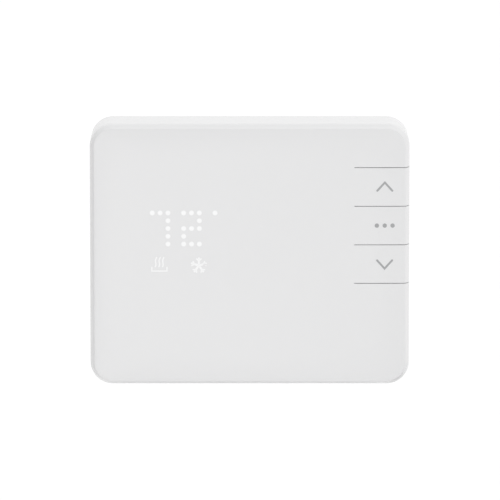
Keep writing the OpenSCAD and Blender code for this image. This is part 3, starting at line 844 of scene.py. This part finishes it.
columns = round(passives["reachX"] / passives["gridX"])
rows = round(passives["reachZ"] / passives["gridZ"])
sites = [Vector((i * passives["gridX"], boardFace - passives["tall"] / 2, j * passives["gridZ"]))
         for i in range(-columns, columns + 1) for j in range(-rows, rows + 1)]
passivePaint = Paint("passivePaint", IOR=1.5)
cap = passivePaint.node("ShaderNodeAttribute", {"attribute_name": "endCap"}, out="Fac").smooth(0.45, 0.5)
tint = passivePaint.noise(300, 2)
body = passivePaint.blend(tint, (0.03, 0.03, 0.035), (0.20, 0.13, 0.08))
passivePaint.set(Base_Color=passivePaint.blend(cap, body, (0.74, 0.74, 0.72)), Metallic=cap,
                 Roughness=0.35 + 0.1 * tint)
boardParts = partTree.run("boardParts", [p for p in sites if freeOnBoard(p.x, p.z)], passivePaint,
                          Long=passives["long"], Wide=passives["wide"], Tall=passives["tall"],
                          Seed=passives["seed"], Share=passives["share"])
standIn(boardParts, "front_unit", "chip_plastic")
print("board parts:", len(boardParts.data.polygons), "faces")

# turned pieces: cells, springs and screws

def turned(bm, profile, place, steps=48):  # profile points are (radius, height), from pole to pole
    rings = []
    for r, h in profile:
        if r == 0:
            rings.append([bm.verts.new(place(0, 0, h))])
        else:
            angles = [2 * math.pi * i / steps for i in range(steps)]
            rings.append([bm.verts.new(place(r * math.cos(a), r * math.sin(a), h)) for a in angles])
    for a, b in zip(rings, rings[1:]):
        for i in range(steps):
            j = (i + 1) % steps
            corners = [a[i % len(a)], a[j % len(a)], b[j % len(b)], b[i % len(b)]]
            bm.faces.new(list(dict.fromkeys(corners)))


cellShape = {"nubR": 2.75 * mm, "nubTall": 1.0 * mm, "filmEdgeR": 5.6 * mm, "round": 0.6 * mm}


def cellProfile(r, tall):
    c = cellShape
    top = tall - c["nubTall"]
    corner = [(r - c["round"] * (1 - math.cos(t)), c["round"] * (1 - math.sin(t)))
              for t in (math.pi / 2 - math.pi / 8 * i for i in range(5))]
    foot = [(0, 0.1 * mm), (4.6 * mm, 0.1 * mm), (4.9 * mm, 0), (5.2 * mm, 0), (5.4 * mm, 0.3 * mm),
            (c["filmEdgeR"], 0.3 * mm), (c["filmEdgeR"], 0)]
    head = [(q, top - h) for q, h in reversed(corner)]
    collar = [(c["filmEdgeR"], top), (c["filmEdgeR"], top - 0.25 * mm), (3.4 * mm, top - 0.25 * mm),
              (3.1 * mm, top), (c["nubR"] + 0.1 * mm, top)]
    nub = [(c["nubR"], top + 0.1 * mm), (c["nubR"], tall - 0.3 * mm), (c["nubR"] - 0.3 * mm, tall), (0, tall)]
    return foot + corner + head + collar + nub


for i in range(1, cellCount + 1):
    low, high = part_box(f"cell_{i}")
    mid = (low + high) / 2
    nubUp = i % 2 == 1

    def stand(x, y, h, low=low, high=high, mid=mid, nubUp=nubUp):
        return Vector((mid.x + x, mid.y + y, low.z + h if nubUp else high.z - h))

    bm = bmesh.new()
    turned(bm, cellProfile((high.x - low.x) / 2, high.z - low.z), stand)
    wrap = cellWrap(f"cellWrap{i}", mid.x, mid.y, low.z, high.z, nubUp)
    standIn(newPiece(f"cell{i}", meshFrom(bm, "cell"), wrap, 35), "front_unit", "cell_wrap", f"cell_{i}")

# a coil spring on its plate
coil = {"plate": 0.6 * mm, "round": 1.2 * mm, "wire": 0.4 * mm, "wide": 3.6 * mm, "narrow": 2.4 * mm, "turns": 4.0}
springTree = Tree("cellSpring", {
    "Turns": ("Float", 4.0), "Wide": ("Float", 0.0036), "Narrow": ("Float", 0.0024), "Tall": ("Float", 0.004),
    "Wire": ("Float", 0.0004), "Plate": ("Float", 0.0006), "Across": ("Float", 0.01), "Deep": ("Float", 0.009),
    "Round": ("Float", 0.001), "Flip": ("Float", 0.0)})
wireRound = springTree.add("GeometryNodeCurvePrimitiveCircle", values={"Resolution": 10,
                                                                       "Radius": springTree.input("Wire")})
spiral = springTree.add("GeometryNodeCurveSpiral", values={
    "Resolution": 30, "Rotations": springTree.input("Turns"), "Start Radius": springTree.input("Wide"),
    "End Radius": springTree.input("Narrow"), "Height": springTree.input("Tall")})
turns = springTree.add("GeometryNodeCurveToMesh", values={"Curve": spiral, "Profile Curve": wireRound,
                                                          "Fill Caps": True})
rise = springTree.math("ADD", springTree.input("Plate"), springTree.input("Wire"))
raised = springTree.add("GeometryNodeTransform", values={
    "Geometry": turns, "Translation": springTree.add("ShaderNodeCombineXYZ", values={"Z": rise})})
sheetOutline = springTree.add("GeometryNodeCurvePrimitiveQuadrilateral", values={
    "Width": springTree.input("Across"), "Height": springTree.input("Deep")})
sheetRound = springTree.add("GeometryNodeFilletCurve", {"mode": "POLY"}, {
    "Curve": sheetOutline, "Radius": springTree.input("Round"), "Count": 5})
thickness = springTree.add("GeometryNodeCurvePrimitiveLine", values={
    "End": springTree.add("ShaderNodeCombineXYZ", values={"Z": springTree.input("Plate")})})
plateMesh = springTree.add("GeometryNodeCurveToMesh", values={"Curve": thickness, "Profile Curve": sheetRound,
                                                              "Fill Caps": True})
join = springTree.tree.nodes.new("GeometryNodeJoinGeometry")
for part in (raised, plateMesh):
    springTree.tree.links.new(part, join.inputs[0])
turn = springTree.add("ShaderNodeCombineXYZ", values={
    "X": springTree.math("MULTIPLY", springTree.input("Flip"), math.pi)})
placed = springTree.add("GeometryNodeInstanceOnPoints", values={
    "Points": springTree.input("Geometry"), "Instance": join.outputs[0], "Rotation": turn})
springTree.close(placed, paints["spring_steel"])
for i in range(1, cellCount + 1):
    low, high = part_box(f"cell_spring_{i}")
    flip = i % 2 == 0
    base = Vector(((low.x + high.x) / 2, (low.y + high.y) / 2, high.z if flip else low.z))
    tall = high.z - low.z - coil["plate"] - 2 * coil["wire"]
    spring = springTree.run(f"cellSpring{i}", [base], paints["spring_steel"], 40, Turns=coil["turns"],
                            Wide=coil["wide"], Narrow=coil["narrow"], Tall=tall, Wire=coil["wire"],
                            Plate=coil["plate"], Across=high.x - low.x, Deep=high.y - low.y,
                            Round=coil["round"], Flip=float(flip))
    standIn(spring, "front_unit", "spring_steel", f"cell_spring_{i}")

# pan head screws with a cross recess, set in place by one tree
def screwMesh(size, long):
    r, tall, shank = size["headR"], size["headTall"], size["shankR"]
    dome = [(r * math.cos(t), tall * (0.35 + 0.65 * math.sin(t))) for t in (math.pi / 16 * i for i in range(8))]
    pitch = shank * 0.55
    thread, h = [], 0.0
    while h + pitch < long - shank:
        thread += [(shank * 0.78, -h - pitch * 0.2), (shank, -h - pitch * 0.6)]
        h += pitch
    bm = bmesh.new()
    turned(bm, [(0, tall)] + dome[::-1] + [(r, 0)] + thread + [(0, -long)],
           lambda x, y, up: Vector((x, up, y)), 28)
    return meshFrom(bm, "screw")


screwTree = Tree("screws", {"Screw": ("Object", None)})
oneScrew = screwTree.add("GeometryNodeObjectInfo", values={"Object": screwTree.input("Screw")}, out="Geometry")
setScrews = screwTree.add("GeometryNodeInstanceOnPoints", values={"Points": screwTree.input("Geometry"),
                                                                  "Instance": oneScrew})
screwTree.close(setScrews, paints["screw_steel"])
for node, size in screwSizes.items():
    low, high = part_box(node)
    seatY = high.y - size["headTall"]
    single = newPiece("single", screwMesh(size, seatY - low.y), paints["screw_steel"])
    wing, deep = size["headR"] * 0.55, size["headTall"] * 0.6
    thin = size["headR"] * 0.11
    top = size["headTall"] * 1.2
    carve(single, boxCutter((-wing, size["headTall"] - deep, -thin), (wing, top, thin)))
    carve(single, boxCutter((-thin, size["headTall"] - deep, -wing), (thin, top, wing)))
    screws = screwTree.run(node.split("_")[0] + "Screws", [(x, seatY, z) for x, z in screwSpots(node)],
                           paints["screw_steel"], 35, Screw=single)
    bpy.data.objects.remove(single)
    standIn(screws, "front_unit", "screw_steel", node)
print("turned pieces:", cellCount, "cells,", cellCount, "springs, 8 screws")

# the CAD nodes that stay, with their finishes

for name, node in nodes.items():
    if slotOf[name] in paints:
        node.data.materials.clear()
        node.data.materials.append(paints[slotOf[name]].material)

# stage, light and camera

floor = bpy.data.objects.new("floor", boxCutter((-6, -6, -0.62), (6, 14, -0.6)).data)
bpy.data.objects.remove(bpy.data.objects["cutter"])
scene.collection.objects.link(floor)
floorPaint = Paint("floorPaint", Base_Color=(0.85, 0.85, 0.85), Roughness=0.9)
floorPaint.set(Emission_Color=(1, 1, 1), Emission_Strength=0.17)
floor.data.materials.append(floorPaint.material)

world = bpy.data.worlds.new("studio")
world.use_nodes = True
scene.world = world
back = world.node_tree.nodes["Background"]
back.inputs[0].default_value = (1, 1, 1, 1)
back.inputs[1].default_value = 1.0


def softbox(name, place, size, power, aim=(0, 0, 0)):
    data = bpy.data.lights.new(name, "AREA")
    data.shape = "RECTANGLE"
    data.size, data.size_y = size
    data.energy = power
    lamp = bpy.data.objects.new(name, data)
    scene.collection.objects.link(lamp)
    lamp.location = place
    lamp.rotation_euler = (Vector(aim) - Vector(place)).to_track_quat("-Z", "Y").to_euler()
    lamp.visible_camera = False


lights = {
    "topLight": {"place": (0.1, -0.1, 1.3), "size": (1.2, 0.9), "power": 1.9},
    "rightLight": {"place": (1.3, -0.5, 0.2), "size": (0.8, 1.0), "power": 0.6},
    "frontLight": {"place": (-0.12, -1.5, -0.24), "size": (0.34, 0.36), "power": 0.83},
}
for name, light in lights.items():
    softbox(name, **light)


def shadeCard(name, place, size, turn, albedo):  # a card out of the picture that darkens one side
    half = Vector(size) / 2
    card = bpy.data.objects.new(name, boxCutter(-half, half).data)
    bpy.data.objects.remove(bpy.data.objects["cutter"])
    scene.collection.objects.link(card)
    card.data.transform(Matrix.Translation(place) @ Matrix.Rotation(math.radians(turn), 4, "Y"))
    card.data.materials.append(Paint(name, Base_Color=(albedo,) * 3, Roughness=0.9).material)
    card.visible_camera = False


cards = {
    "leftCard": {"place": (-0.61, -0.4, 0.1), "size": (0.02, 1.0, 1.2), "turn": 0, "albedo": 0.6},
    "underCard": {"place": (-0.004, cadBox[0].y / 2, cadBox[0].z - 14 * mm), "size": (0.096, 0.010, 0.001),
                  "turn": 0, "albedo": 0.4},
    "cornerCard": {"place": (halfW + 2.2 * mm, frontY + 1 * mm, cadBox[0].z - 6.4 * mm),
                   "size": (0.009, 0.011, 0.001), "turn": -40, "albedo": 0.1},
}
for name, card in cards.items():
    shadeCard(name, **card)

view = {"distance": 2.0, "elevation": 8.6, "wide": 0.1732, "raise": -0.00005, "aside": 0.00012}
lens = 36 / 2 / (view["wide"] / 2 / view["distance"])
cameraData = bpy.data.cameras.new("camera")
cameraData.lens = lens
cameraData.sensor_width = 36
cameraData.clip_end = 60
camera = bpy.data.objects.new("camera", cameraData)
scene.collection.objects.link(camera)
scene.camera = camera
elevation = math.radians(view["elevation"])
target = Vector((view["aside"], (cadBox[0].y + cadBox[1].y) / 2, view["raise"]))
camera.location = target + view["distance"] * Vector((0, -math.cos(elevation), math.sin(elevation)))
camera.rotation_euler = (target - camera.location).to_track_quat("-Z", "Y").to_euler()
scene.view_settings.view_transform = "Standard"
scene.view_settings.look = "None"
print("stage:", len(lights), "lights,", len(cards), "cards, one camera")
